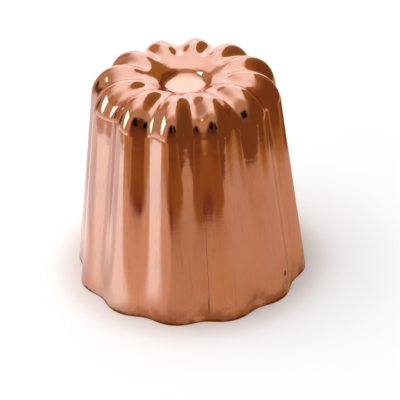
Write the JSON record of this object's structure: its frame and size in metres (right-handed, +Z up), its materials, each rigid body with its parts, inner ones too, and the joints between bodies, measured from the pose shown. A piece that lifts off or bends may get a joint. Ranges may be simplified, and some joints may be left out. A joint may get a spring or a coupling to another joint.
{
  "type": "fluted baking mould",
  "caption": "Fluted copper baking mould for one small tall cake: a tapered one-piece cup with rounded flutes that run over its shoulder to a shallow dish in the crown.",
  "frame": {"origin": "centre of the mouth, in the plane of the rim that the mould stands on when it is stored mouth down", "axes": "+Z up along the axis, from the mouth to the crown; +X points at a ridge"},
  "size_m": [0.055, 0.055, 0.0516],
  "materials": {
    "copper": "polished"
  },
  "bodies": {
    "root": {"fluted_mould": "copper"}
  },
  "joints": []
}
